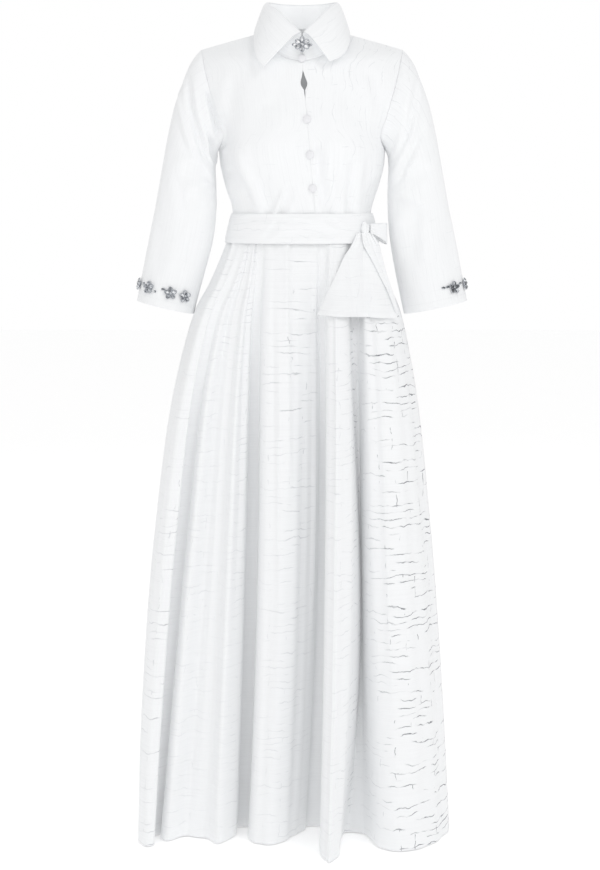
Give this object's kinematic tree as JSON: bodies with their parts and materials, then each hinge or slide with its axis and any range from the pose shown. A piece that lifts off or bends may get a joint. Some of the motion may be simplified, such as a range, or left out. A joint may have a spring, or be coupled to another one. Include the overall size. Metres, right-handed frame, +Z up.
{
  "type": "evening gown",
  "caption": "Floor-length evening gown with a shirt collar, buttoned bodice, bracelet sleeves, tied sash and deep-folded skirt, in its worn form with no wearer.",
  "frame": {"origin": "base of the neck, level with the inner ends of the shoulder seams, where the wearer's neck and shoulders hold the gown up", "axes": "+Z up from hem to collar, -Y the way the front faces, +X towards the wearer's left side, where the sash is tied"},
  "size_m": [0.6184, 0.4437, 1.546],
  "materials": {
    "gown_cloth": "white jacquard with silver-grey crackle lines, soft sheen",
    "button_cloth": "white satin-faced cloth drawn over a domed button",
    "cut_stones": "clear and smoke-grey cut stones in silver settings"
  },
  "bodies": {
    "root": {"bodice_front_right": "gown_cloth", "bodice_front_left": "gown_cloth", "bodice_back_left": "gown_cloth", "bodice_back_right": "gown_cloth", "sleeve_right": "gown_cloth", "sleeve_left": "gown_cloth", "collar_stand": "gown_cloth", "collar_fall": "gown_cloth", "skirt_front": "gown_cloth", "skirt_back_left": "gown_cloth", "skirt_back_right": "gown_cloth", "sash_band": "gown_cloth", "sash_knot": "gown_cloth", "sash_loop": "gown_cloth", "sash_tail_lower": "gown_cloth", "sash_tail_upper": "gown_cloth", "button_1": "button_cloth", "button_2": "button_cloth", "button_3": "button_cloth", "button_neck": "button_cloth", "brooch": "cut_stones", "cuff_flower_right_1": "cut_stones", "cuff_flower_right_2": "cut_stones", "cuff_flower_right_3": "cut_stones", "cuff_flower_right_4": "cut_stones", "cuff_flower_left_1": "cut_stones", "cuff_flower_left_2": "cut_stones", "cuff_flower_left_3": "cut_stones", "cuff_flower_left_4": "cut_stones"}
  },
  "joints": []
}
